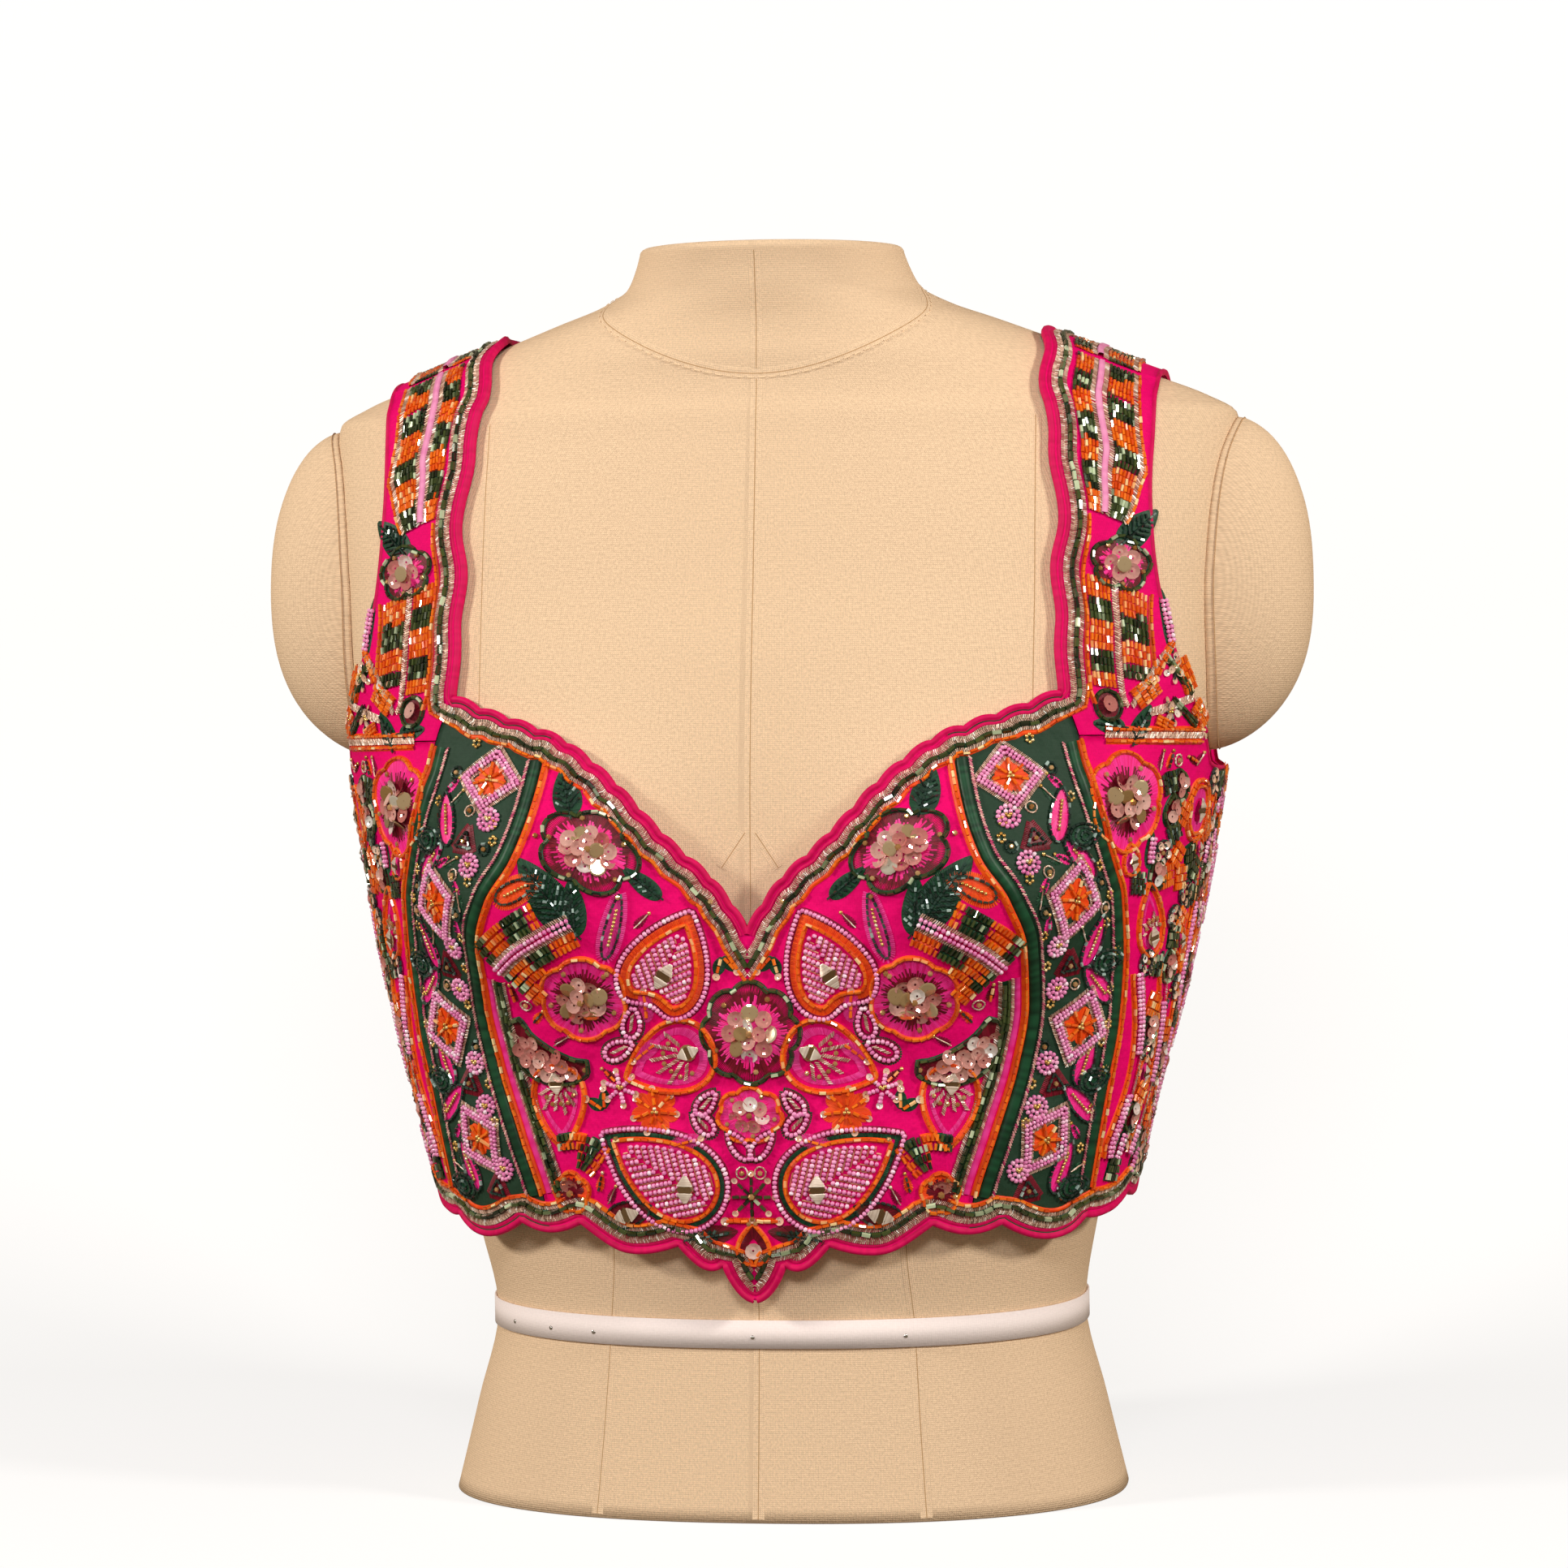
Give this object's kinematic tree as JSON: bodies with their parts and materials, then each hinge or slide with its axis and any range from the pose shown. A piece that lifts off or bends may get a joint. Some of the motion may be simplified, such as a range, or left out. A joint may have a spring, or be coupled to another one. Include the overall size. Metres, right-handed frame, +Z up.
{
  "type": "choli blouse on dress form",
  "caption": "Short fitted choli blouse with wide straps, pointed sweetheart neckline and scalloped hem, heavily embroidered, worn on a limbless linen dress form.",
  "frame": {"origin": "centre of the bounding box at the underside of the dress form, which is the plane z = 0", "axes": "+Z up the body, +Y from the chest to the back, +X to the wearer's left; the front faces -Y"},
  "size_m": [0.421, 0.2254, 0.4925],
  "materials": {
    "pink_silk": "dense woven silk, soft sheen",
    "green_silk": "woven silk, soft sheen",
    "linen": "matt plain-weave linen cover",
    "tape": "flat woven cotton tape"
  },
  "bodies": {
    "root": {"back_left": "pink_silk", "back_placket": "pink_silk", "back_right": "pink_silk", "centre_front": "pink_silk", "form_shoulder_left": "linen", "form_shoulder_right": "linen", "form_torso": "linen", "front_band_left": "green_silk", "front_band_right": "green_silk", "side_front_left": "pink_silk", "side_front_right": "pink_silk", "strap_left": "pink_silk", "strap_right": "pink_silk", "waist_tape": "tape"}
  },
  "joints": []
}
